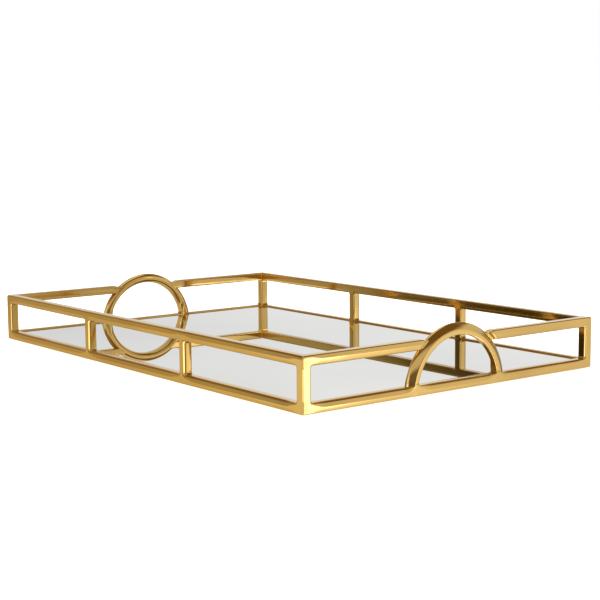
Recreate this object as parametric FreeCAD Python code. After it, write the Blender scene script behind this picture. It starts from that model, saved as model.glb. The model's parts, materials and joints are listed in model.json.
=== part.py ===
import FreeCAD
import Part
import math
import os

V = FreeCAD.Vector

# Driving dimensions, in millimetres
LENGTH = 457.0              # outside length of the rail frame, along X
WIDTH = 301.0               # outside width of the rail frame, along Y
RAIL_HEIGHT = 42.0          # underside of the bottom rails to the top of the top rails
BAR = 7.8                   # side of the square bar
EDGE_RADIUS = 1.2           # polished long edges of the bars
TOP_EDGE_RADIUS = 1.8       # upper outer edge of the top rails, polished rounder
LOW_EDGE_RADIUS = 2.0       # upper outer edge of the bottom rails, polished rounder still
CORNER_RADIUS = 0.5         # outer upright edge of the corner posts
FRONT_POST_SHIFT = -1.5     # hand-set middle posts stand this far along X from even spacing
BACK_POST_SHIFT = 4.0
FLARE_RADIUS = 1.8          # dressed braze flare where a post meets a rail
WEDGE = 0.06                # part of a flare's radius trimmed, so that its toe isn't a knife edge
COPE_DEPTH = 0.7            # how far a post end reaches over a rail's rounded edge, of its radius

ARCH_INNER_RADIUS = 42.0    # half-circle handle, inside
ARCH_SIDE_WIDTH = 4.0       # flat part of the handle's sides, outwards from the inside
ARCH_CROWN_RISE = 5.3       # rounded outside of the handle, beyond its flat sides
ARCH_CENTRE_RISE = 0.0      # circle's centre above the underside of the bottom rails
CROWN_STEPS = 12
ARCH_INNER_EDGE = 0.8       # polished inner edges of the handle
ARCH_FOOT_FLARE = 1.6       # braze flare beside each foot of a handle
COPE_STANDOFF = 0.5         # a top rail's full section stops this far outside the handle's crown
TENON_INSET = 1.0           # the brazed neck is this much inside the rail's faces

PAD_DROP = 1.5              # feet stand this far below the bottom rails
GUSSET_LEG = 32.0           # corner support plate, along each rail
GUSSET_THICKNESS = 1.0
TAB_LENGTH = 24.0           # support tab half-way along a rail
TAB_DEPTH = 10.0
BOARD_THICKNESS = 2.0
BOARD_CLEARANCE = 0.4       # gap between board and rails, each side
TAPE_THICKNESS = 0.6
TAPE_WIDTH = 20.0
TAPE_INSET = 30.0
GLASS_THICKNESS = 3.0
GLASS_CLEARANCE = 0.5       # gap between mirror and rails, each side
FELT_THICKNESS = 0.8
FELT_INSET = 44.0           # felt sheet's edge inside the rails' inner faces
FELT_CORNER = 10.0
PAD_RADIUS = 6.5
PAD_OFFSET = 10.5           # pad's centre inside the rails' inner faces
SCREW_OFFSET_NEAR = 6.0     # screw's centre from one rail's inner face
SCREW_OFFSET_FAR = 20.0     # screw's centre from the other rail's inner face
SCREW_RADIUS = 1.2
PILOT_CLEARANCE = 0.05
PLATE_HOLE_CLEARANCE = 0.2
SCREW_LENGTH = 2.5
HEAD_RADIUS = 2.5
HEAD_HEIGHT = 0.9

# Derived sizes and positions
ARCH_SIDE_RADIUS = ARCH_INNER_RADIUS + ARCH_SIDE_WIDTH
ARCH_OUTER_RADIUS = ARCH_SIDE_RADIUS + ARCH_CROWN_RISE
X_OUT = LENGTH / 2.0
Y_OUT = WIDTH / 2.0
X_IN = X_OUT - BAR
Y_IN = Y_OUT - BAR
Z_LOW = PAD_DROP
Z_LOW_TOP = Z_LOW + BAR
Z_HIGH = Z_LOW + RAIL_HEIGHT
Z_HIGH_LOW = Z_HIGH - BAR
X_POST = (LENGTH - BAR) / 6.0   # three equal openings along each long side
X_CORNER = X_OUT - BAR / 2.0
Y_CORNER = Y_OUT - BAR / 2.0
ARCH_Z = Z_LOW + ARCH_CENTRE_RISE
Z_BOARD = Z_LOW + GUSSET_THICKNESS
Z_TAPE = Z_BOARD + BOARD_THICKNESS
Z_GLASS = Z_TAPE + TAPE_THICKNESS


def box(low, high):
    size = high.sub(low)
    return Part.makeBox(size.x, size.y, size.z, low)


def prism(points, height):
    wire = Part.makePolygon(points + [points[0]])
    return Part.Face(wire).extrude(V(0, 0, height))


def edges_at(shape, axis, test):
    found = []
    for edge in shape.Edges:
        ends = [vertex.Point for vertex in edge.Vertexes]
        if len(ends) < 2:
            continue
        run = ends[1].sub(ends[0])
        if run.Length < BAR / 2.0:
            continue
        if abs(run.dot(axis)) < 0.999 * run.Length:
            continue
        if test(ends[0].add(ends[1]).multiply(0.5)):
            found.append(edge)
    return found


def round_edges(shape, axis, radius, test):
    edges = edges_at(shape, axis, test)
    return shape.makeFillet(radius, edges)


def near(value, target):
    return abs(value - target) < 1e-4


def x_rail(side, z_low, top_radius, square_inside):
    # A rail along X with mitred ends; side is -1 for the front and 1 for the back.
    outer = side * Y_OUT
    inner = side * Y_IN
    z_top = z_low + BAR
    corners = [V(-X_OUT, outer, z_low), V(X_OUT, outer, z_low), V(X_IN, inner, z_low), V(-X_IN, inner, z_low)]
    rail = prism(corners, BAR)
    along = V(1, 0, 0)
    rail = round_edges(rail, along, top_radius, lambda p: near(p.y, outer) and near(p.z, z_top))
    rail = round_edges(rail, along, EDGE_RADIUS, lambda p: near(p.y, outer) and near(p.z, z_low))
    rail = round_edges(rail, along, EDGE_RADIUS, lambda p: near(p.y, inner) and near(p.z, z_top))
    if not square_inside:
        rail = round_edges(rail, along, EDGE_RADIUS, lambda p: near(p.y, inner) and near(p.z, z_low))
    return rail


def y_rail(side, z_low, top_radius, square_inside):
    # A rail along Y with mitred ends; side is -1 for the left and 1 for the right.
    outer = side * X_OUT
    inner = side * X_IN
    z_top = z_low + BAR
    corners = [V(outer, -Y_OUT, z_low), V(outer, Y_OUT, z_low), V(inner, Y_IN, z_low), V(inner, -Y_IN, z_low)]
    rail = prism(corners, BAR)
    along = V(0, 1, 0)
    rail = round_edges(rail, along, top_radius, lambda p: near(p.x, outer) and near(p.z, z_top))
    rail = round_edges(rail, along, EDGE_RADIUS, lambda p: near(p.x, outer) and near(p.z, z_low))
    rail = round_edges(rail, along, EDGE_RADIUS, lambda p: near(p.x, inner) and near(p.z, z_top))
    if not square_inside:
        rail = round_edges(rail, along, EDGE_RADIUS, lambda p: near(p.x, inner) and near(p.z, z_low))
    return rail


def crown_curve(x_mid):
    # The rounded outside of the handle's bar, from its +X side over to its -X side.
    half = BAR / 2.0
    rise = ARCH_OUTER_RADIUS - ARCH_SIDE_RADIUS
    points = []
    for step in range(CROWN_STEPS + 1):
        angle = math.pi * step / CROWN_STEPS
        x = x_mid + half * math.cos(angle)
        points.append(V(x, 0, ARCH_Z + ARCH_SIDE_RADIUS + rise * math.sin(angle)))
    curve = Part.BSplineCurve()
    curve.interpolate(Points=points, InitialTangent=V(0, 0, 1), FinalTangent=V(0, 0, -1))
    return curve.toShape()


def handle_ring(side):
    # The handle's bar as a full ring about an axis along X, at one end of the tray.
    x_mid = side * (X_OUT + X_IN) / 2.0
    x_a = x_mid - BAR / 2.0
    x_b = x_mid + BAR / 2.0
    z_in = ARCH_Z + ARCH_INNER_RADIUS
    z_side = ARCH_Z + ARCH_SIDE_RADIUS
    inside = Part.makeLine(V(x_a, 0, z_in), V(x_b, 0, z_in))
    side_b = Part.makeLine(V(x_b, 0, z_in), V(x_b, 0, z_side))
    side_a = Part.makeLine(V(x_a, 0, z_side), V(x_a, 0, z_in))
    section = Part.Face(Part.Wire([inside, side_b, crown_curve(x_mid), side_a]))
    ring = section.revolve(V(0, 0, ARCH_Z), V(1, 0, 0), 360)
    ring = Part.makeSolid(ring) if ring.ShapeType != "Solid" else ring
    corners = []
    for edge in ring.Edges:
        if hasattr(edge.Curve, "Radius") and near(edge.Curve.Radius, ARCH_INNER_RADIUS):
            if edge.Length > math.pi * ARCH_INNER_RADIUS:
                corners.append(edge)
    return ring.makeFillet(ARCH_INNER_EDGE, corners)


def flare(corner, across, up, radius, width_axis, width):
    # A concave corner fillet of braze: corner is where the two surfaces meet, across and up point
    # away from them, and the fillet is centred on the corner along width_axis.
    lap = radius * 0.3
    start = corner.sub(V(across).multiply(lap))
    reach = V(across).multiply(radius + lap)
    rise = V(up).multiply(radius)
    depth = V(width_axis).multiply(width)
    start = start.sub(V(width_axis).multiply(width / 2.0))
    wire = Part.makePolygon([start, start.add(reach), start.add(reach).add(rise), start.add(rise), start])
    block = Part.Face(wire).extrude(depth)
    offset = radius * (1.0 - WEDGE)
    centre = corner.add(V(across).multiply(offset)).add(V(up).multiply(offset))
    centre = centre.sub(V(width_axis).multiply(width / 2.0 + 1.0))
    round_cut = Part.makeCylinder(radius, width + 2.0, centre, width_axis)
    return block.cut(round_cut)


def fused(shapes):
    return shapes[0].multiFuse(shapes[1:]).removeSplitter()


def post_flares(x, y, x_sides, y_sides):
    # Braze flares at both ends of the post whose axis is at x, y. Each sits on the flat between a
    # rail's rounded edges, so the lower ones stand a little further in.
    half = BAR / 2.0
    pieces = []
    for end, up, radius in ((Z_LOW_TOP, V(0, 0, 1), LOW_EDGE_RADIUS), (Z_HIGH_LOW, V(0, 0, -1), EDGE_RADIUS)):
        width = BAR - EDGE_RADIUS - radius
        shift = (radius - EDGE_RADIUS) / 2.0
        for side in x_sides:
            corner = V(x + side * half, y - math.copysign(shift, y), end)
            pieces.append(flare(corner, V(side, 0, 0), up, FLARE_RADIUS, V(0, 1, 0), width))
        for side in y_sides:
            corner = V(x - math.copysign(shift, x), y + side * half, end)
            pieces.append(flare(corner, V(0, side, 0), up, FLARE_RADIUS, V(1, 0, 0), width))
    return pieces


def post(x, y, x_sides, y_sides, rails):
    # A square post with rounded upright edges; its ends lap over the rails' rounded edges.
    half = BAR / 2.0
    low = Z_LOW_TOP - LOW_EDGE_RADIUS * COPE_DEPTH
    high = Z_HIGH_LOW + EDGE_RADIUS * COPE_DEPTH
    bar = box(V(x - half, y - half, low), V(x + half, y + half, high))

    def is_outer_corner(p):
        return abs(p.x) > X_OUT - 0.01 and abs(p.y) > Y_OUT - 0.01

    upright = V(0, 0, 1)
    bar = round_edges(bar, upright, EDGE_RADIUS, lambda p: not is_outer_corner(p))
    if abs(x) > X_OUT - BAR:
        bar = round_edges(bar, upright, CORNER_RADIUS, is_outer_corner)
    for rail in rails:
        bar = bar.cut(rail)
    return fused([bar] + post_flares(x, y, x_sides, y_sides))


def handle_arch(side, ring, bottom_rail):
    # The half ring above the bottom rail, with braze flares at its feet.
    x_mid = side * (X_OUT + X_IN) / 2.0
    reach = LOW_EDGE_RADIUS * COPE_DEPTH
    big = ARCH_OUTER_RADIUS + 10.0
    keep = box(V(x_mid - BAR, -big, Z_LOW_TOP - reach), V(x_mid + BAR, big, ARCH_Z + big))
    arch = ring.common(keep).cut(bottom_rail)
    height = Z_LOW_TOP - ARCH_Z
    width = BAR - EDGE_RADIUS - LOW_EDGE_RADIUS
    x_flare = x_mid - side * (LOW_EDGE_RADIUS - EDGE_RADIUS) / 2.0
    y_inner = math.sqrt(ARCH_INNER_RADIUS ** 2 - height ** 2)
    crown = math.sqrt(ARCH_OUTER_RADIUS ** 2 - height ** 2)
    pieces = [arch]
    for hand in (-1, 1):
        corner = V(x_flare, hand * y_inner, Z_LOW_TOP)
        pieces.append(flare(corner, V(0, -hand, 0), V(0, 0, 1), ARCH_FOOT_FLARE, V(1, 0, 0), width))
        corner = V(x_flare, hand * crown, Z_LOW_TOP)
        pieces.append(flare(corner, V(0, hand, 0), V(0, 0, 1), ARCH_FOOT_FLARE, V(1, 0, 0), width * 0.5))
    return fused(pieces)


def ring_disc(side, radius):
    x_mid = side * (X_OUT + X_IN) / 2.0
    return Part.makeCylinder(radius, 2.0 * BAR, V(x_mid - BAR, 0, ARCH_Z), V(1, 0, 0))


def end_top_rail(side, hand, ring):
    # Half of an end's top rail: mitred at the corner post, coped round the handle.
    whole = y_rail(side, Z_HIGH_LOW, TOP_EDGE_RADIUS, False)
    far = Y_OUT + 10.0
    x_mid = side * (X_OUT + X_IN) / 2.0
    y_low = min(0.0, hand * far)
    y_high = max(0.0, hand * far)
    half_space = box(V(x_mid - BAR, y_low, Z_LOW), V(x_mid + BAR, y_high, Z_HIGH + 10.0))
    rail = whole.common(half_space).cut(ring_disc(side, ARCH_OUTER_RADIUS + COPE_STANDOFF))
    half = BAR / 2.0 - TENON_INSET
    z_mid = Z_HIGH - BAR / 2.0
    y_near = hand * ARCH_INNER_RADIUS * 0.4
    y_far = hand * (ARCH_OUTER_RADIUS + COPE_STANDOFF)
    low = V(x_mid - half, min(y_near, y_far), z_mid - half)
    neck = box(low, V(x_mid + half, max(y_near, y_far), z_mid + half))
    neck = neck.cut(ring_disc(side, ARCH_SIDE_RADIUS)).cut(ring)
    return rail.fuse(neck).removeSplitter()


def rounded_sheet(inset, z_low, thickness, radius):
    # A flat sheet inside the bottom rails, with rounded corners.
    x = X_IN - inset
    y = Y_IN - inset
    sheet = box(V(-x, -y, z_low), V(x, y, z_low + thickness))
    corners = [edge for edge in sheet.Edges if near(edge.Length, thickness)]
    return sheet.makeFillet(radius, corners)


def screw_spots():
    # Centres of the screws: two in each corner plate.
    spots = []
    for sx in (-1, 1):
        for sy in (-1, 1):
            spots.append((sx * (X_IN - SCREW_OFFSET_FAR), sy * (Y_IN - SCREW_OFFSET_NEAR)))
            spots.append((sx * (X_IN - SCREW_OFFSET_NEAR), sy * (Y_IN - SCREW_OFFSET_FAR)))
    return spots


def drill(shape, radius, z_low, z_high):
    for x, y in screw_spots():
        shape = shape.cut(Part.makeCylinder(radius, z_high - z_low, V(x, y, z_low), V(0, 0, 1)))
    return shape


def gussets():
    # Four triangular plates brazed into the corners of the bottom frame; the board rests on them.
    plates = []
    for sx in (-1, 1):
        for sy in (-1, 1):
            corner = V(sx * X_IN, sy * Y_IN, Z_LOW)
            points = [corner, corner.add(V(-sx * GUSSET_LEG, 0, 0)), corner.add(V(0, -sy * GUSSET_LEG, 0))]
            plates.append(prism(points, GUSSET_THICKNESS))
    group = Part.makeCompound(plates)
    return drill(group, SCREW_RADIUS + PLATE_HOLE_CLEARANCE, Z_LOW - 1.0, Z_BOARD + 1.0)


def rail_tabs():
    # Small support tabs brazed half-way along each bottom rail.
    half = TAB_LENGTH / 2.0
    top = Z_LOW + GUSSET_THICKNESS
    tabs = []
    for side in (-1, 1):
        y_a = side * (Y_IN - TAB_DEPTH)
        y_b = side * Y_IN
        tabs.append(box(V(-half, min(y_a, y_b), Z_LOW), V(half, max(y_a, y_b), top)))
        x_a = side * (X_IN - TAB_DEPTH)
        x_b = side * X_IN
        tabs.append(box(V(min(x_a, x_b), -half, Z_LOW), V(max(x_a, x_b), half, top)))
    return Part.makeCompound(tabs)


def backing_board():
    board = rounded_sheet(BOARD_CLEARANCE, Z_BOARD, BOARD_THICKNESS, 0.5)
    return drill(board, SCREW_RADIUS + PILOT_CLEARANCE, Z_BOARD - 1.0, Z_TAPE + 1.0)


def board_screws():
    screws = []
    for x, y in screw_spots():
        shank = Part.makeCylinder(SCREW_RADIUS, SCREW_LENGTH, V(x, y, Z_LOW), V(0, 0, 1))
        head = Part.makeCylinder(HEAD_RADIUS, HEAD_HEIGHT, V(x, y, Z_LOW - HEAD_HEIGHT), V(0, 0, 1))
        rim = [edge for edge in head.Edges if near(edge.BoundBox.ZMax, Z_LOW - HEAD_HEIGHT)]
        head = head.makeFillet(HEAD_HEIGHT * 0.5, rim)
        slot_low = V(x - HEAD_RADIUS, y - 0.35, Z_LOW - HEAD_HEIGHT)
        slot = box(slot_low, V(x + HEAD_RADIUS, y + 0.35, Z_LOW - HEAD_HEIGHT * 0.4))
        screws.append(shank.fuse(head).removeSplitter().cut(slot))
    return Part.makeCompound(screws)


def tape_strips():
    strips = []
    half_length = X_IN - TAPE_INSET
    for y in (-(Y_IN - TAPE_INSET), 0.0, Y_IN - TAPE_INSET):
        low = V(-half_length, y - TAPE_WIDTH / 2.0, Z_TAPE)
        strips.append(box(low, V(half_length, y + TAPE_WIDTH / 2.0, Z_GLASS)))
    return Part.makeCompound(strips)


def mirror_glass():
    x = X_IN - GLASS_CLEARANCE
    y = Y_IN - GLASS_CLEARANCE
    glass = box(V(-x, -y, Z_GLASS), V(x, y, Z_GLASS + GLASS_THICKNESS))
    upper = [edge for edge in glass.Edges if near(edge.BoundBox.ZMin, Z_GLASS + GLASS_THICKNESS)]
    return glass.makeChamfer(0.3, upper)


def foot_pads():
    pads = []
    for sx in (-1, 1):
        for sy in (-1, 1):
            x = sx * (X_IN - PAD_OFFSET)
            y = sy * (Y_IN - PAD_OFFSET)
            pads.append(Part.makeCylinder(PAD_RADIUS, PAD_DROP, V(x, y, 0), V(0, 0, 1)))
    return Part.makeCompound(pads)


def save(name, shape):
    solids = shape.Solids
    if len(solids) == 1:
        shape = solids[0]
    shape.exportStep("parts/" + name + ".step")
    print(name, len(solids), "solid(s)", round(shape.Volume, 1), shape.isValid())


def save_posts(front_low, back_low, left_low, right_low, front_high, back_high, left_high, right_high):
    front_left = [front_low, left_low, front_high, left_high]
    front_right = [front_low, right_low, front_high, right_high]
    back_left = [back_low, left_low, back_high, left_high]
    back_right = [back_low, right_low, back_high, right_high]
    save("front_left_corner_post", post(-X_CORNER, -Y_CORNER, [1], [1], front_left))
    save("front_right_corner_post", post(X_CORNER, -Y_CORNER, [-1], [1], front_right))
    save("back_left_corner_post", post(-X_CORNER, Y_CORNER, [1], [-1], back_left))
    save("back_right_corner_post", post(X_CORNER, Y_CORNER, [-1], [-1], back_right))
    for hand, name in ((-1, "left"), (1, "right")):
        x = hand * X_POST + FRONT_POST_SHIFT
        save("front_mid_post_" + name, post(x, -Y_CORNER, [-1, 1], [], [front_low, front_high]))
        x = hand * X_POST + BACK_POST_SHIFT
        save("back_mid_post_" + name, post(x, Y_CORNER, [-1, 1], [], [back_low, back_high]))


def save_ends(left_low, right_low):
    for side, name, low in ((-1, "left", left_low), (1, "right", right_low)):
        ring = handle_ring(side)
        save(name + "_top_rail_front", end_top_rail(side, -1, ring))
        save(name + "_top_rail_back", end_top_rail(side, 1, ring))
        save(name + "_handle_arch", handle_arch(side, ring, low))


def save_base():
    save("mirror_glass", mirror_glass())
    save("mirror_tape", tape_strips())
    save("backing_board", backing_board())
    save("underside_felt", rounded_sheet(FELT_INSET, Z_BOARD - FELT_THICKNESS, FELT_THICKNESS, FELT_CORNER))
    save("corner_gussets", gussets())
    save("support_tabs", rail_tabs())
    save("board_screws", board_screws())
    save("foot_pads", foot_pads())


def build():
    os.makedirs("parts", exist_ok=True)
    front_low = x_rail(-1, Z_LOW, LOW_EDGE_RADIUS, True)
    back_low = x_rail(1, Z_LOW, LOW_EDGE_RADIUS, True)
    left_low = y_rail(-1, Z_LOW, LOW_EDGE_RADIUS, True)
    right_low = y_rail(1, Z_LOW, LOW_EDGE_RADIUS, True)
    front_high = x_rail(-1, Z_HIGH_LOW, TOP_EDGE_RADIUS, False)
    back_high = x_rail(1, Z_HIGH_LOW, TOP_EDGE_RADIUS, False)
    left_high = y_rail(-1, Z_HIGH_LOW, TOP_EDGE_RADIUS, False)
    right_high = y_rail(1, Z_HIGH_LOW, TOP_EDGE_RADIUS, False)
    save("front_bottom_rail", front_low)
    save("back_bottom_rail", back_low)
    save("left_bottom_rail", left_low)
    save("right_bottom_rail", right_low)
    save("front_top_rail", front_high)
    save("back_top_rail", back_high)
    save_ends(left_low, right_low)
    save_posts(front_low, back_low, left_low, right_low, front_high, back_high, left_high, right_high)
    save_base()


build()
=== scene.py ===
import json
import math

import bmesh
import bpy
from mathutils import Matrix, Vector


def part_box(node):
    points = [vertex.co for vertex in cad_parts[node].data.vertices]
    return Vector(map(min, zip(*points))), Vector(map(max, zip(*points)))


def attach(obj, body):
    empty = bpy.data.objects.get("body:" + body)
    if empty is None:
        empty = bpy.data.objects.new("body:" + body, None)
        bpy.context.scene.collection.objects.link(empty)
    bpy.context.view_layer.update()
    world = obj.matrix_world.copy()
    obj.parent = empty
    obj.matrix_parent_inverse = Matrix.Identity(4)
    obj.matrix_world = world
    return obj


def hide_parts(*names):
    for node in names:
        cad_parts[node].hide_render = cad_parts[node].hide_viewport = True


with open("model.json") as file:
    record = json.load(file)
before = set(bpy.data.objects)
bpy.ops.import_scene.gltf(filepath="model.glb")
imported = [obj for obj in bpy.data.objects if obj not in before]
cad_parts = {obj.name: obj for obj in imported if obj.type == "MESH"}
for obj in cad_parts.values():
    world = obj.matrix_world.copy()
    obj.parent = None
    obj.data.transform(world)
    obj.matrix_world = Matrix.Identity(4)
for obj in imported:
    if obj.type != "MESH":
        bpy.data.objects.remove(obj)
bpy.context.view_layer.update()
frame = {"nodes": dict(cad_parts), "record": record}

# Camera, in metres and degrees. It stands in front of the right-hand end and looks down a little.
LENS = 84.66
SENSOR = 36.0
CAMERA_AT = Vector((0.9911, -0.7403, 0.2072))
YAW, PITCH, ROLL = 52.366, 7.3455, -0.432


def make_camera():
    yaw, pitch, roll = math.radians(YAW), math.radians(PITCH), math.radians(ROLL)
    forward = Vector((-math.sin(yaw) * math.cos(pitch), math.cos(yaw) * math.cos(pitch), -math.sin(pitch)))
    right = Vector((math.cos(yaw), math.sin(yaw), 0.0))
    up = right.cross(forward)
    tilted_right = math.cos(roll) * right + math.sin(roll) * up
    tilted_up = math.cos(roll) * up - math.sin(roll) * right
    turn = Matrix((tilted_right, tilted_up, -forward)).transposed()
    data = bpy.data.cameras.new("camera")
    data.lens = LENS
    data.sensor_width = SENSOR
    data.clip_start = 0.01
    data.clip_end = 100.0
    camera = bpy.data.objects.new("camera", data)
    camera.matrix_world = Matrix.Translation(CAMERA_AT) @ turn.to_4x4()
    bpy.context.scene.collection.objects.link(camera)
    bpy.context.scene.camera = camera


class Nodes:
    """Short way to write a node tree."""

    def __init__(self, tree):
        self.tree = tree
        tree.nodes.clear()

    def add(self, kind, **settings):
        node = self.tree.nodes.new(kind)
        for name, value in settings.items():
            setattr(node, name, value)
        return node

    def link(self, source, target):
        self.tree.links.new(source, target)

    def math(self, operation, a, b=None):
        node = self.add("ShaderNodeMath", operation=operation)
        for slot, value in enumerate((a, b)):
            if isinstance(value, (int, float)):
                node.inputs[slot].default_value = value
            elif value is not None:
                self.link(value, node.inputs[slot])
        return node.outputs[0]


def noise(n, place, scale, detail):
    node = n.add("ShaderNodeTexNoise")
    node.inputs["Scale"].default_value = scale
    node.inputs["Detail"].default_value = detail
    n.link(place, node.inputs["Vector"])
    return node.outputs["Fac"]


def two_tones(n, factor, stops):
    ramp = n.add("ShaderNodeValToRGB")
    for element, (position, color) in zip(ramp.color_ramp.elements, stops):
        element.position = position
        element.color = color
    n.link(factor, ramp.inputs["Fac"])
    return ramp.outputs["Color"]


def bump(n, height, strength, distance):
    node = n.add("ShaderNodeBump")
    node.inputs["Strength"].default_value = strength
    node.inputs["Distance"].default_value = distance
    n.link(height, node.inputs["Height"])
    return node.outputs["Normal"]


def new_material(name):
    material = bpy.data.materials.new(name)
    material.use_nodes = True
    return material, Nodes(material.node_tree)


def surface(n, metallic):
    out = n.add("ShaderNodeOutputMaterial")
    shader = n.add("ShaderNodeBsdfPrincipled")
    shader.inputs["Metallic"].default_value = metallic
    n.link(shader.outputs["BSDF"], out.inputs["Surface"])
    return shader


# Brass: its two tones drift over the bars, its polish varies, and its faces are a little wavy.
BRASS_DEEP = (0.66, 0.42, 0.125, 1.0)
BRASS_PALE = (0.78, 0.51, 0.165, 1.0)
TONE_SCALE = 9.0
POLISH_SCALE = 60.0
SMOOTHEST = 0.045
ROUGHEST = 0.10
WAVE_SCALE = 24.0
WAVE_STRENGTH = 0.28
WAVE_DEPTH = 0.0006
LACQUER = 0.15
LACQUER_ROUGHNESS = 0.05


def brass():
    """Hand-polished brass under a thin clear lacquer."""
    material, n = new_material("frame_brass")
    shader = surface(n, 1.0)
    place = n.add("ShaderNodeTexCoord").outputs["Object"]
    tone = two_tones(n, noise(n, place, TONE_SCALE, 3.0), ((0.35, BRASS_DEEP), (0.65, BRASS_PALE)))
    n.link(tone, shader.inputs["Base Color"])
    rough = n.add("ShaderNodeMapRange")
    rough.inputs["To Min"].default_value = SMOOTHEST
    rough.inputs["To Max"].default_value = ROUGHEST
    n.link(noise(n, place, POLISH_SCALE, 4.0), rough.inputs["Value"])
    n.link(rough.outputs["Result"], shader.inputs["Roughness"])
    waves = bump(n, noise(n, place, WAVE_SCALE, 0.0), WAVE_STRENGTH, WAVE_DEPTH)
    n.link(waves, shader.inputs["Normal"])
    shader.inputs["Coat Weight"].default_value = LACQUER
    shader.inputs["Coat Roughness"].default_value = LACQUER_ROUGHNESS
    return material


GRAIN_DEPTH = 0.0003
GRAIN_SHADE = 0.8        # the dark of a grain, as a share of the colour


def grained(name, color, roughness, metallic, scale, strength):
    """An even material with a grain of that scale, which stands out as much as strength says."""
    material, n = new_material(name)
    shader = surface(n, metallic)
    shader.inputs["Roughness"].default_value = roughness
    grain = noise(n, n.add("ShaderNodeTexCoord").outputs["Object"], scale, 5.0)
    dark = tuple(c * GRAIN_SHADE for c in color[:3]) + (1.0,)
    n.link(two_tones(n, grain, ((0.3, dark), (0.7, color))), shader.inputs["Base Color"])
    n.link(bump(n, grain, strength, GRAIN_DEPTH), shader.inputs["Normal"])
    return material


MATERIALS = {
    "frame_brass": brass(),
    "mirror": grained("mirror", (0.90, 0.905, 0.865, 1), 0.012, 1.0, 3.0, 0.0),
    "foam_tape": grained("foam_tape", (0.8, 0.8, 0.78, 1), 0.8, 0.0, 400.0, 0.3),
    "hardboard": grained("hardboard", (0.16, 0.085, 0.04, 1), 0.6, 0.0, 250.0, 0.4),
    "felt": grained("felt", (0.012, 0.012, 0.013, 1), 0.95, 0.0, 900.0, 0.8),
    "plate_steel": grained("plate_steel", (0.55, 0.45, 0.25, 1), 0.35, 1.0, 120.0, 0.1),
    "screw_steel": grained("screw_steel", (0.55, 0.55, 0.56, 1), 0.3, 1.0, 300.0, 0.1),
}


def dress_nodes():
    for row in frame["record"]["subparts"]:
        node = frame["nodes"][row["node"]]
        node.data.materials.clear()
        node.data.materials.append(MATERIALS[row["material_slot"]])


FLOOR_REACH = 12.0
FLOOR_COLOR = (0.85, 0.85, 0.85, 1.0)
FLOOR_GLOW = 0.85        # lifts the floor to the white of the paper behind it


def make_floor():
    corners = [(-1, -1), (1, -1), (1, 1), (-1, 1)]
    mesh = bpy.data.meshes.new("floor")
    mesh.from_pydata([(x * FLOOR_REACH, y * FLOOR_REACH, 0) for x, y in corners], [], [(0, 1, 2, 3)])
    floor = bpy.data.objects.new("floor", mesh)
    bpy.context.scene.collection.objects.link(floor)
    material, n = new_material("floor")
    out = n.add("ShaderNodeOutputMaterial")
    diffuse = n.add("ShaderNodeBsdfDiffuse")
    diffuse.inputs["Color"].default_value = FLOOR_COLOR
    glow = n.add("ShaderNodeEmission")
    glow.inputs["Color"].default_value = (1.0, 1.0, 1.0, 1.0)
    glow.inputs["Strength"].default_value = FLOOR_GLOW
    both = n.add("ShaderNodeAddShader")
    n.link(diffuse.outputs[0], both.inputs[0])
    n.link(glow.outputs[0], both.inputs[1])
    n.link(both.outputs[0], out.inputs["Surface"])
    mesh.materials.append(material)
    floor.visible_glossy = False


WHITE = (1.0, 1.0, 1.0)

# The room that the metal reflects. Each band goes round by angle, in degrees from +X towards +Y, and
# changes evenly between its stops. HORIZON, TABLE (the white table below it) and LOW_SKY are brightness.
BRIGHTEST = 7.0
HORIZON = ((0, 0.2), (18, 0.25), (24, 0.85), (25.8, 0.85), (27, 0.35), (29.5, 0.5), (32, 0.6), (33.5, 0.7),
           (35, 0.65), (36.4, 0.6), (38, 0.75), (44, 0.9), (50, 0.9), (57, 0.3), (112, 0.35), (125, 0.9),
           (141.9, 0.865), (142.6, 0.835), (153, 0.75), (160, 0.15), (198, 0.15), (206, 0.58), (219, 0.45),
           (222, 0.14), (227, 0.04), (240, 0.05), (249, 1.1), (286, 1.3), (294, 2.2), (318, 2.4),
           (326, 0.15), (360, 0.2))
TABLE = ((0, 0.5), (18, 0.4), (24, 1.3), (27, 1.1), (29, 0.9), (31.5, 3.2), (33.4, 3.2), (34.6, 0.8),
         (36.4, 0.6), (37.6, 3.0), (38.2, 6.4), (38.8, 3.6), (39.4, 1.7), (40.5, 1.3), (44, 1.05),
         (50, 0.84), (60, 0.85), (195, 0.62), (207, 0.72), (215, 0.78), (217.5, 1.0), (221, 0.75),
         (225, 0.2), (238, 0.2), (247, 1.2), (286, 1.2), (294, 3.4), (318, 3.6), (325, 0.4), (345, 0.5),
         (360, 0.5))
LOW_SKY = ((0, 0.2), (20, 0.3), (25, 0.6), (28.5, 0.56), (30.5, 0.7), (32, 1.5), (34, 1.5), (35, 0.65),
           (38, 0.75), (44, 0.9), (50, 0.9), (57, 0.3), (112, 0.35), (125, 0.9), (141.9, 0.865),
           (142.6, 0.835), (152, 0.75), (200, 0.6), (214, 0.55), (219, 0.45), (222, 0.14), (227, 0.04),
           (240, 0.05), (249, 1.1), (318, 1.1), (326, 0.2), (360, 0.2))

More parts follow.
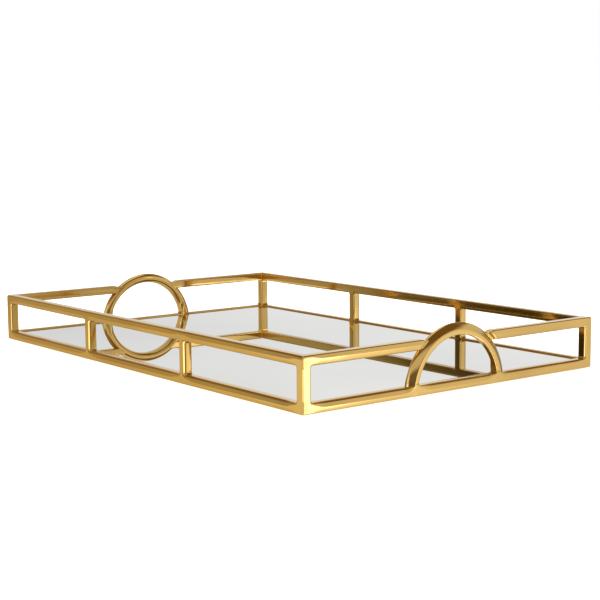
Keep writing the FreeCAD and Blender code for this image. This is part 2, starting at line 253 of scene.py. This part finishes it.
# WARMTH tints those three. The walls above them have their own colours. WINDOW brightens all that lies
# between its edge and the upper walls.
WARMTH = ((0, (1.0, 0.9, 0.65)), (22, (1.0, 0.95, 0.8)), (40, WHITE), (190, WHITE), (205, (1.0, 0.84, 0.52)),
          (215, (1.0, 0.88, 0.55)), (217.5, (1.0, 0.97, 0.8)), (228, (1.0, 0.80, 0.42)), (250, WHITE),
          (320, WHITE), (330, (1.0, 0.88, 0.6)), (360, (1.0, 0.9, 0.65)))
PALE_WALL = (0.74, 0.73, 0.70)
BROWN_WALL = (0.32, 0.23, 0.12)
MID_WALL = (0.34, 0.25, 0.14)
DARK_WALL = (0.19, 0.12, 0.05)
MIDDLE_ROOM = ((0, PALE_WALL), (180, PALE_WALL), (190, BROWN_WALL), (221, BROWN_WALL), (229, PALE_WALL),
               (360, PALE_WALL))
UPPER_ROOM = ((0, DARK_WALL), (63, DARK_WALL), (69, MID_WALL), (76, DARK_WALL), (84, DARK_WALL),
              (90, MID_WALL), (122, MID_WALL), (132, PALE_WALL), (155, PALE_WALL), (165, DARK_WALL),
              (222, DARK_WALL), (232, MID_WALL), (312, MID_WALL), (328, DARK_WALL), (360, DARK_WALL))
WINDOW = ((0, 1.0), (246, 1.0), (254, 1.25), (312, 1.25), (318, 1.0), (360, 1.0))

# Heights over which one band gives way to the next: 0 is level, 1 is straight up.
TABLE_EDGE = (-0.151, -0.128)
LOW_SKY_EDGE = (0.04, 0.10)
WINDOW_EDGE = (0.10, 0.22)
MIDDLE_EDGE = (0.20, 0.32)
UPPER_EDGE = (0.48, 0.60)
CEILING_EDGE = (0.84, 0.93)


def color_ramp(n, angle, stops):
    """The colour at an angle, which counts one turn as 1."""
    ramp = n.add("ShaderNodeValToRGB")
    elements = ramp.color_ramp.elements
    for index, (degrees, color) in enumerate(stops):
        position = degrees / 360.0
        element = elements[index] if index < 2 else elements.new(position)
        element.position = position
        element.color = color + (1.0,)
    n.link(angle, ramp.inputs["Fac"])
    return ramp.outputs["Color"]


def level_ramp(n, angle, stops):
    """A brightness at an angle, which may be over 1."""
    gray = [(degrees, (value / BRIGHTEST,) * 3) for degrees, value in stops]
    return n.math("MULTIPLY", color_ramp(n, angle, gray), BRIGHTEST)


def over(n, height, edge):
    """Goes smoothly from 0 to 1 as the height passes an edge."""
    step = n.add("ShaderNodeMapRange", interpolation_type="SMOOTHSTEP")
    step.inputs["From Min"].default_value, step.inputs["From Max"].default_value = edge
    n.link(height, step.inputs["Value"])
    return step.outputs["Result"]


def blend(n, factor, a, b):
    """A colour that goes from a to b. A mix node's two colour sockets are its seventh and eighth."""
    node = n.add("ShaderNodeMix", data_type="RGBA")
    n.link(factor, node.inputs["Factor"])
    for socket, value in ((node.inputs[6], a), (node.inputs[7], b)):
        if isinstance(value, tuple):
            socket.default_value = value + (1.0,)
        else:
            n.link(value, socket)
    return node.outputs[2]


def multiply(n, a, b):
    node = n.add("ShaderNodeVectorMath", operation="MULTIPLY")
    n.link(a, node.inputs[0])
    n.link(b, node.inputs[1])
    return node.outputs[0]


def make_world():
    """The room's bands, one above another. The camera itself sees plain white."""
    world = bpy.data.worlds.new("studio")
    bpy.context.scene.world = world
    world.use_nodes = True
    n = Nodes(world.node_tree)
    out = n.add("ShaderNodeOutputWorld")
    back = n.add("ShaderNodeBackground")
    place = n.add("ShaderNodeTexCoord")
    split = n.add("ShaderNodeSeparateXYZ")
    n.link(place.outputs["Generated"], split.inputs[0])
    turn = n.math("ARCTAN2", split.outputs["Y"], split.outputs["X"])
    angle = n.math("FRACT", n.math("ADD", n.math("DIVIDE", turn, 2.0 * math.pi), 1.0))
    height = split.outputs["Z"]
    level = blend(n, over(n, height, TABLE_EDGE), level_ramp(n, angle, TABLE), level_ramp(n, angle, HORIZON))
    level = blend(n, over(n, height, LOW_SKY_EDGE), level, level_ramp(n, angle, LOW_SKY))
    tinted = multiply(n, level, color_ramp(n, angle, WARMTH))
    room = blend(n, over(n, height, MIDDLE_EDGE), tinted, color_ramp(n, angle, MIDDLE_ROOM))
    lit = multiply(n, room, level_ramp(n, angle, WINDOW))
    room = blend(n, over(n, height, WINDOW_EDGE), room, lit)
    room = blend(n, over(n, height, UPPER_EDGE), room, color_ramp(n, angle, UPPER_ROOM))
    whole = blend(n, over(n, height, CEILING_EDGE), room, WHITE)
    light = n.add("ShaderNodeLightPath")
    seen = blend(n, light.outputs["Is Camera Ray"], whole, WHITE)
    n.link(seen, back.inputs["Color"])
    n.link(back.outputs[0], out.inputs["Surface"])


SOFTBOX_AT = Vector((-0.3, 0.4, 2.2))
SOFTBOX_SIDE = 2.0
SOFTBOX_POWER = 30.0


def make_softbox():
    """A large soft light overhead, aimed at the tray. The metal doesn't reflect it."""
    data = bpy.data.lights.new("overhead", "AREA")
    data.shape = "RECTANGLE"
    data.size, data.size_y = SOFTBOX_SIDE, SOFTBOX_SIDE
    data.energy = SOFTBOX_POWER
    light = bpy.data.objects.new("overhead", data)
    light.location = SOFTBOX_AT
    light.rotation_euler = (-SOFTBOX_AT).to_track_quat("-Z", "Y").to_euler()
    light.visible_glossy = False
    bpy.context.scene.collection.objects.link(light)


# Brass bars, in metres. The CAD boxes give the places; these are sizes that a box doesn't say.
CORNER_R = 0.0019        # dressed corners of the openings
RIM_R = 0.0014           # polished edge round an opening
POST_R = 0.0024          # the same on the middle posts, which are dressed rounder
LOW_RIM_R = 0.0028       # the same on a bottom rail's outer face, away from the posts
TOP_R = 0.0022           # upper outer edge of the long top rails
END_TOP_R = 0.0013       # the same on the short ends
EDGE_R = 0.0010          # other long edges
CRISP_R = 0.0008         # upright outer corners of the frame
HIDDEN_R = 0.0002        # lower inner edge of the bottom rails, left square
SHARP_R = 0.00001        # an edge that runs into the handle, left sharp
RIM_TAPER = 0.011        # length over which a rim's radius changes
FOOT_TAPER = RIM_TAPER * 0.6   # the same beside the handle's feet
FULLNESS = 0.00016       # a bar's face is this much fuller half-way up than at its edges
MITRE_REACH = 0.02       # sections that start this near a corner stay on their side of the mitre

# Steps of the meshes, and where lines run along a bar's outer and inner faces.
ARC_STEPS = 6
INSIDE_STEPS = 3
SPAN_STEP = 0.004
ARCH_STEPS = 96
OUTER_LINES = (0.17, 0.33, 0.5, 0.67, 0.83)
INNER_LINES = (0.33, 0.67)

# The handle. Its radii are counted from the middle of its end of the tray, at the bottom rail's underside.
ARCH_IN = 0.0420         # inside
ARCH_SIDE = 0.0460       # end of its flat outer face
ARCH_OUT = 0.0513        # crown of its rounded back
ARCH_MIDDLE = 0.0467     # end of the round inner edge, towards the mirror
ARCH_ROUND = 0.0039      # how deep that edge is dressed, except at the feet
ARCH_RIM = 0.0009        # its other edges inside
ARCH_LIFT = {"right": 0.0, "left": 0.0004}   # how much more each handle's inside was dressed at its crown
ARCH_SQUARE = 0.78       # 1 would make the back an ellipse at the feet; less is squarer
ARCH_BEVEL = 1.35        # 1 would make the outer half of the back a flat bevel; more is rounder
ARCH_FOOT_R = 0.0016     # dressed braze inside the feet
FOOT_BLEND = 11.0        # a foot's section turns into the crown's over one part in 11 of the half ring
CREASE = ((0.0001, 0.00006), (-0.0002, 0.0))   # from the end of the flat face: radius and depth

# A top rail's end, where it is coped to the handle.
COPE_R = 0.0514          # a top rail's full section stops at this radius round the handle
COPE_ROUND = 0.0020      # rounding of its outer face there
COPE_DROP = 0.0016       # its top edge falls this much over COPE_RUN before it gets there
COPE_RUN = 0.0045
COPE_CURVE = 0.9         # 1 would make that fall end upright
COPE_REACH = COPE_R + COPE_ROUND + COPE_RUN + 0.0005
COPE_GAP = 0.001         # between the last plain section and the first coped one
NECK_R = 0.0480          # the brazed neck ends inside the handle
NECK_START = ARCH_OUT - 0.0003
NECK_INSET = COPE_ROUND * 1.1


class Side:
    """One side of the frame: u runs along it, v goes in from its outer face, w up from its underside."""

    def __init__(self, corner, along, inward, length):
        self.corner = Vector(corner)
        self.along = Vector(along)
        self.inward = Vector(inward)
        self.length = length

    def point(self, u, v, w):
        return self.corner + self.along * u + self.inward * v + Vector((0.0, 0.0, w))

    def distance(self, point):
        return (Vector(point) - self.corner).dot(self.along)


def ease(t):
    t = min(1.0, max(0.0, t))
    return t * t * (3.0 - 2.0 * t)


def quarter(steps):
    return [math.pi / 2.0 * i / steps for i in range(steps + 1)]


UP = (0.0, 1.0)          # normal of a straight opening's edge, as (u, w)


class Station:
    """A place on the outline of an opening: c on the outline, n the normal into the opening, the radii
    of the rail's outer and inner edge there, and how full its face is."""

    def __init__(self, c, n, rim, rim_in=EDGE_R, full=0.0):
        self.c = c
        self.n = n
        self.rim = rim
        self.rim_in = rim_in
        self.full = full


def section(station, bar, far_out, far_in):
    """Closed loop of (u, v, w) through a rail at a station; w counts from the edge away from the opening."""
    c, n, rim, rim_in = station.c, station.n, station.rim, station.rim_in
    u_out, w_out = c[0] - n[0] * rim, c[1] - n[1] * rim
    u_in, w_in = c[0] - n[0] * rim_in, c[1] - n[1] * rim_in
    loop = []
    for t in quarter(INSIDE_STEPS):
        loop.append((u_in, bar - far_in * (1.0 - math.cos(t)), far_in * (1.0 - math.sin(t))))
    for t in quarter(ARC_STEPS):
        loop.append((u_out, far_out * (1.0 - math.sin(t)), far_out * (1.0 - math.cos(t))))
    for share in OUTER_LINES:
        loop.append((u_out, 0.0, far_out + (w_out - far_out) * share))
    for t in quarter(ARC_STEPS):
        inset = rim * (1.0 - math.sin(t))
        loop.append((c[0] - n[0] * inset, rim * (1.0 - math.cos(t)), c[1] - n[1] * inset))
    for t in quarter(INSIDE_STEPS):
        inset = rim_in * (1.0 - math.cos(t))
        loop.append((c[0] - n[0] * inset, bar - rim_in * (1.0 - math.sin(t)), c[1] - n[1] * inset))
    for share in INNER_LINES:
        loop.append((u_in, bar, w_in + (far_in - w_in) * share))
    if station.full > 0.0:
        middle, reach = (far_out + w_out) / 2.0, (w_out - far_out) / 2.0
        loop = [(u, v + fuller(v, w, middle, reach, bar, station.full), w) for u, v, w in loop]
    return loop


def fuller(v, w, middle, reach, bar, amount):
    """How far a face falls back from its fullest line."""
    return amount * min(1.0, abs(w - middle) / reach) ** 2 * max(0.0, 1.0 - v / (0.5 * bar))


def corner_stations(edge, hand, bar, rim):
    """The dressed corner beside a post; hand is 1 at an opening's first corner and -1 at its last."""
    stations = []
    for t in quarter(ARC_STEPS):
        n = (hand * math.cos(t), math.sin(t))
        c = (edge + hand * CORNER_R - CORNER_R * n[0], bar + CORNER_R - CORNER_R * n[1])
        stations.append(Station(c, n, rim))
    return stations if hand > 0 else stations[::-1]


def bay(start, end, bar, rim_mid, rim_start=RIM_R, rim_end=RIM_R):
    """Stations round the rail side of one opening. A rim of None means that end has no post."""
    low = start if rim_start is None else start + CORNER_R
    high = end if rim_end is None else end - CORNER_R
    stations = [] if rim_start is None else corner_stations(start, 1, bar, rim_start)
    count = max(6, round((high - low) / SPAN_STEP))
    for i in range(1, count):
        u = low + (high - low) * i / count
        from_start = 1.0 if rim_start is None else ease((u - low) / RIM_TAPER)
        from_end = 1.0 if rim_end is None else ease((high - u) / RIM_TAPER)
        rim = rim_mid
        if from_start < 1.0:
            rim = rim_start + (rim_mid - rim_start) * from_start
        if from_end < 1.0:
            rim = rim_end + (rim_mid - rim_end) * from_end
        full = FULLNESS * from_start * from_end
        stations.append(Station((u, bar), UP, rim, EDGE_R, full))
    if rim_end is not None:
        stations += corner_stations(end, -1, bar, rim_end)
    return stations


def mitre(loop):
    """Loops that close a rail on the upright plane through the frame's corner, u equal to v there."""
    loops = []
    bar = max(v for u, v, w in loop)
    for turn in (math.pi / 4.0, math.pi / 8.0, 0.0):
        made = []
        for u, v, w in loop:
            crisp = CRISP_R * (1.0 - v / bar)
            made.append((v + crisp * (1.0 - math.sin(turn)), v + crisp * (1.0 - math.cos(turn)), w))
        loops.append(made)
    return loops


def inside_mitre(loop):
    """The loop with what lies past the mitre moved back on to it."""
    made = []
    for u, v, w in loop:
        if u < v:
            u = v = (u + v) / 2.0
        made.append((u, v, w))
    return made


def with_first_mitre(loops):
    trimmed = [inside_mitre(loop) if loop[0][0] < MITRE_REACH else loop for loop in loops]
    return mitre(trimmed[0]) + trimmed


def turned(loops, length):
    """The same loops in the order and place that they have from the side's other end."""
    return [[(length - u, v, w) for u, v, w in loop] for loop in reversed(loops)]


def with_mitres(loops, length):
    return turned(with_first_mitre(turned(with_first_mitre(loops), length)), length)


def loft(name, rings):
    """A closed mesh through rings of points, with a cap on each end ring."""
    mesh = bpy.data.meshes.new(name)
    size = len(rings[0])
    points = [point for ring in rings for point in ring]
    faces = []
    for a in range(0, len(points) - size, size):
        for i in range(size):
            j = (i + 1) % size
            faces.append((a + i, a + j, a + size + j, a + size + i))
    faces.append(tuple(range(size)))
    faces.append(tuple(range(len(points) - 1, len(points) - 1 - size, -1)))
    mesh.from_pydata(points, [], faces)
    return mesh


WELD = 0.000001
SHARP_ANGLE = math.radians(40.0)


def brass_piece(mesh, node):
    """Cleans a mesh and puts it in place of its CAD node."""
    work = bmesh.new()
    work.from_mesh(mesh)
    bmesh.ops.remove_doubles(work, verts=work.verts, dist=WELD)
    bmesh.ops.dissolve_degenerate(work, edges=work.edges, dist=WELD)
    bmesh.ops.recalc_face_normals(work, faces=work.faces)
    for face in work.faces:
        face.smooth = True
    work.to_mesh(mesh)
    work.free()
    mesh.set_sharp_from_angle(angle=SHARP_ANGLE)
    mesh.materials.append(MATERIALS["frame_brass"])
    piece = bpy.data.objects.new(node + "_polished", mesh)
    bpy.context.scene.collection.objects.link(piece)
    shade = piece.modifiers.new("even_shading", "WEIGHTED_NORMAL")
    shade.keep_sharp = True
    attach(piece, "root")
    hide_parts(node)


def sides_of_frame():
    low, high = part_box("front_bottom_rail")
    left, front, base = low
    right = high.x
    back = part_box("back_bottom_rail")[1].y
    length, width = right - left, back - front
    return {
        "front": Side((left, front, base), (1, 0, 0), (0, 1, 0), length),
        "right": Side((right, front, base), (0, 1, 0), (-1, 0, 0), width),
        "back": Side((right, back, base), (-1, 0, 0), (0, -1, 0), length),
        "left": Side((left, back, base), (0, -1, 0), (1, 0, 0), width),
    }


def placed(side, loops, height=None):
    """Loops in the side's u, v, w turned into points; with a height, w counts down from it."""
    rings = []
    for loop in loops:
        rings.append([side.point(u, v, w if height is None else height - w) for u, v, w in loop])
    return rings


def long_rail(side, bar, posts, far_out, far_in, rim_mid):
    """A whole front or back rail: posts are the u spans that posts stand on."""
    edges = [bar] + [edge for span in posts for edge in span] + [side.length - bar]
    bays = list(zip(edges[0::2], edges[1::2]))
    stations = []
    for index, (start, end) in enumerate(bays):
        rim_start = RIM_R if index == 0 else POST_R
        rim_end = RIM_R if index == len(bays) - 1 else POST_R
        stations += bay(start, end, bar, rim_mid, rim_start, rim_end)
    loops = [section(station, bar, far_out, far_in) for station in stations]
    return with_mitres(loops, side.length)


def post_mesh(name, side, low_u, high_u, bar, height, radii):
    """A post between the dressed corners of its rails. radii are for its four upright edges."""
    outline = []
    corners = ((low_u, 0.0), (high_u, 0.0), (high_u, bar), (low_u, bar))
    inward = ((1, 1), (-1, 1), (-1, -1), (1, -1))
    for index, ((u, v), (to_u, to_v), radius) in enumerate(zip(corners, inward, radii)):
        for t in quarter(ARC_STEPS):
            t = t if index % 2 else math.pi / 2.0 - t
            du, dv = radius * (1.0 - math.sin(t)), radius * (1.0 - math.cos(t))
            outline.append((u + to_u * du, v + to_v * dv))
    low, high = bar + CORNER_R, height - bar - CORNER_R
    rings = []
    for share in (0.0, 0.5, 1.0):
        rings.append([side.point(u, v, low + (high - low) * share) for u, v in outline])
    return loft(name, rings)


def foot_arc(bar):
    """The dressed corner inside a foot, as (centre's distance from the middle, its height, its lean)."""
    drop = bar + ARCH_FOOT_R
    reach = math.sqrt((ARCH_IN - ARCH_FOOT_R) ** 2 - drop ** 2)
    return reach, drop, math.atan2(drop, reach)


def end_low_rail(side, bar):
    """Bottom rail of a short end, with the feet of the handle's inside dressed into it."""
    middle = side.length / 2.0
    foot = middle - math.sqrt(ARCH_SIDE ** 2 - bar ** 2)
    half = bay(bar, foot, bar, LOW_RIM_R, RIM_R, None)
    for station in half:
        near = ease((foot - station.c[0]) / FOOT_TAPER)
        station.rim = max(SHARP_R, station.rim * near)
        station.rim_in = max(SHARP_R, station.rim_in * near)
    half.append(Station((foot, bar), UP, SHARP_R, SHARP_R))
    reach, drop, lean = foot_arc(bar)
    for i in range(ARC_STEPS + 1):
        t = -lean + (math.pi / 2.0 + lean) * i / ARC_STEPS
        n = (math.cos(t), math.sin(t))
        c = (middle - reach - ARCH_FOOT_R * n[0], drop - ARCH_FOOT_R * n[1])
        half.append(Station(c, n, ARCH_RIM, ARCH_RIM))
    start = half[-1].c[0]
    count = round((middle - start) / SPAN_STEP)
    for i in range(1, count):
        u = start + (middle - start) * i / count
        grow = ease((u - start) / RIM_TAPER)
        rim = ARCH_RIM + (LOW_RIM_R - ARCH_RIM) * grow
        half.append(Station((u, bar), UP, rim, EDGE_R, FULLNESS * grow))
    half.append(Station((middle, bar), UP, LOW_RIM_R, EDGE_R, FULLNESS))
    loops = [section(station, bar, EDGE_R, HIDDEN_R) for station in half]
    return with_mitres(loops + turned(loops[:-1], side.length), side.length)


def cope_cuts():
    """How a top rail ends, as (radius round the handle, outer face's inset, top's fall)."""
    cuts = [(COPE_REACH, 0.0, 0.0)]
    for i in range(1, ARC_STEPS + 1):
        share = i / ARC_STEPS
        fall = COPE_DROP * (1.0 - math.sqrt(1.0 - share * share * COPE_CURVE))
        cuts.append((COPE_R + COPE_ROUND + COPE_RUN * (1.0 - share), 0.0, fall))
    for t in quarter(5)[1:]:
        cuts.append((COPE_R + COPE_ROUND * (1.0 - math.sin(t)), COPE_ROUND * (1.0 - math.cos(t)), fall))
    return cuts + [(NECK_START, NECK_INSET, fall), (NECK_R, NECK_INSET, fall)]


def end_top_rail(side, bar, height):
    """Half of a short end's top rail, from the corner to its brazed neck in the handle."""
    middle = side.length / 2.0
    start_cope = middle - math.sqrt(COPE_REACH ** 2 - (height - bar) ** 2) - COPE_GAP
    stations = bay(bar, start_cope, bar, RIM_R, RIM_R, None)
    loops = [section(station, bar, END_TOP_R, EDGE_R) for station in stations]
    last = loops[-1]
    for radius, inset, fall in cope_cuts():
        made = []
        for u, v, w in last:
            v += inset * (1.0 - v / bar)
            w += fall * (1.0 - w / bar)
            made.append((middle - math.sqrt(radius ** 2 - (height - w) ** 2), v, w))
        loops.append(made)
    return with_first_mitre(loops)


def handle_outline(bar, roundness):
    """Section of the handle as (radius, v): flat outside face, round face towards the mirror."""
    deep = ARCH_RIM + (ARCH_ROUND - ARCH_RIM) * roundness
    wide = ARCH_RIM + (ARCH_MIDDLE - ARCH_IN - ARCH_RIM) * roundness
    square = ARCH_SQUARE + (1.0 - ARCH_SQUARE) * roundness
    outline = []
    for t in quarter(4):
        outline.append((ARCH_IN + ARCH_RIM * (1.0 - math.sin(t)), ARCH_RIM * (1.0 - math.cos(t))))
    for t in reversed(quarter(12)):
        outline.append((ARCH_IN + wide * (1.0 - math.sin(t)), bar - deep * (1.0 - math.cos(t))))
    start = max(ARCH_SIDE, ARCH_IN + wide)
    steps = 15
    for t in quarter(steps):
        rise = (ARCH_OUT - start) * math.sin(t) ** square
        outline.append((start + rise, bar / 2.0 + bar / 2.0 * math.cos(t) ** square))
    for i in range(1, steps):
        share = i / steps
        outline.append((ARCH_OUT - (ARCH_OUT - ARCH_SIDE) * share ** ARCH_BEVEL, bar / 2.0 * (1.0 - share)))
    return outline + [(ARCH_SIDE + radius, depth) for radius, depth in CREASE]


def handle_mesh(name, side, bar, lift):
    """The half ring, with feet cut to the bottom rail. The lift of its inside comes in from a quarter
    to three quarters of the way up."""
    middle = side.length / 2.0
    lean = foot_arc(bar)[2]
    inner_foot = (ARCH_IN * math.cos(lean), ARCH_IN * math.sin(lean))
    outer_foot = (math.sqrt(ARCH_SIDE ** 2 - bar ** 2), bar)
    rings = []
    for k in range(ARCH_STEPS + 1):
        from_foot = min(k, ARCH_STEPS - k) / ARCH_STEPS
        ring = []
        for r, v in handle_outline(bar, ease(from_foot * FOOT_BLEND)):
            if r <= ARCH_SIDE:
                share = (r - ARCH_IN) / (ARCH_SIDE - ARCH_IN)
                foot = [a + (b - a) * share for a, b in zip(inner_foot, outer_foot)]
                start = math.atan2(foot[1], foot[0])
            else:
                start = math.asin(bar / r)
            turn = start + (math.pi - 2.0 * start) * k / ARCH_STEPS
            share = max(0.0, (ARCH_SIDE - r) / (ARCH_SIDE - ARCH_IN))
            r += lift * share * ease(math.sin(turn) * 2.0 - 0.5)
            ring.append(side.point(middle - r * math.cos(turn), v, r * math.sin(turn)))
        rings.append(ring)
    return loft(name, rings)


def mirrored_mesh(mesh, side):
    """The same mesh reflected end for end on its side of the frame."""
    copy = mesh.copy()
    normal = side.along
    offset = 2.0 * (side.corner.dot(normal) + side.length / 2.0)
    for vertex in copy.vertices:
        vertex.co += normal * (offset - 2.0 * vertex.co.dot(normal))
    copy.flip_normals()
    return copy


def make_long_side(name, side, bar, height):
    spans = []
    for node in (name + "_mid_post_left", name + "_mid_post_right"):
        ends = sorted(side.distance(corner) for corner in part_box(node))
        centre = sum(ends) / 2.0
        spans.append((centre - bar / 2.0, centre + bar / 2.0, node))
    spans.sort()
    posts = [span[:2] for span in spans]
    loops = long_rail(side, bar, posts, EDGE_R, HIDDEN_R, LOW_RIM_R)
    brass_piece(loft(name + "_low", placed(side, loops)), name + "_bottom_rail")
    loops = long_rail(side, bar, posts, TOP_R, EDGE_R, RIM_R)
    brass_piece(loft(name + "_top", placed(side, loops, height)), name + "_top_rail")
    for start, end, node in spans:
        mesh = post_mesh(node, side, start, end, bar, height, (POST_R, POST_R, EDGE_R, EDGE_R))
        brass_piece(mesh, node)


def make_short_end(name, halves, side, bar, height):
    brass_piece(loft(name + "_low", placed(side, end_low_rail(side, bar))), name + "_bottom_rail")
    near = loft(name + "_top", placed(side, end_top_rail(side, bar, height), height))
    far = mirrored_mesh(near, side)
    brass_piece(near, name + "_top_rail_" + halves[0])
    brass_piece(far, name + "_top_rail_" + halves[1])
    brass_piece(handle_mesh(name + "_handle", side, bar, ARCH_LIFT[name]), name + "_handle_arch")


def make_brass():
    sides = sides_of_frame()
    low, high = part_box("front_bottom_rail")
    bar = high.z - low.z
    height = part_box("front_top_rail")[1].z - low.z
    for name in ("front", "back"):
        make_long_side(name, sides[name], bar, height)
    for name, halves in (("right", ("front", "back")), ("left", ("back", "front"))):
        make_short_end(name, halves, sides[name], bar, height)
    for name, corner in (("front", "front_left"), ("right", "front_right"), ("back", "back_right"),
                         ("left", "back_left")):
        node = corner + "_corner_post"
        radii = (CRISP_R, RIM_R, EDGE_R, RIM_R)
        brass_piece(post_mesh(node, sides[name], 0.0, bar, bar, height, radii), node)


make_camera()
make_floor()
make_world()
dress_nodes()
make_brass()
make_softbox()
bpy.context.scene.view_settings.view_transform = "Standard"
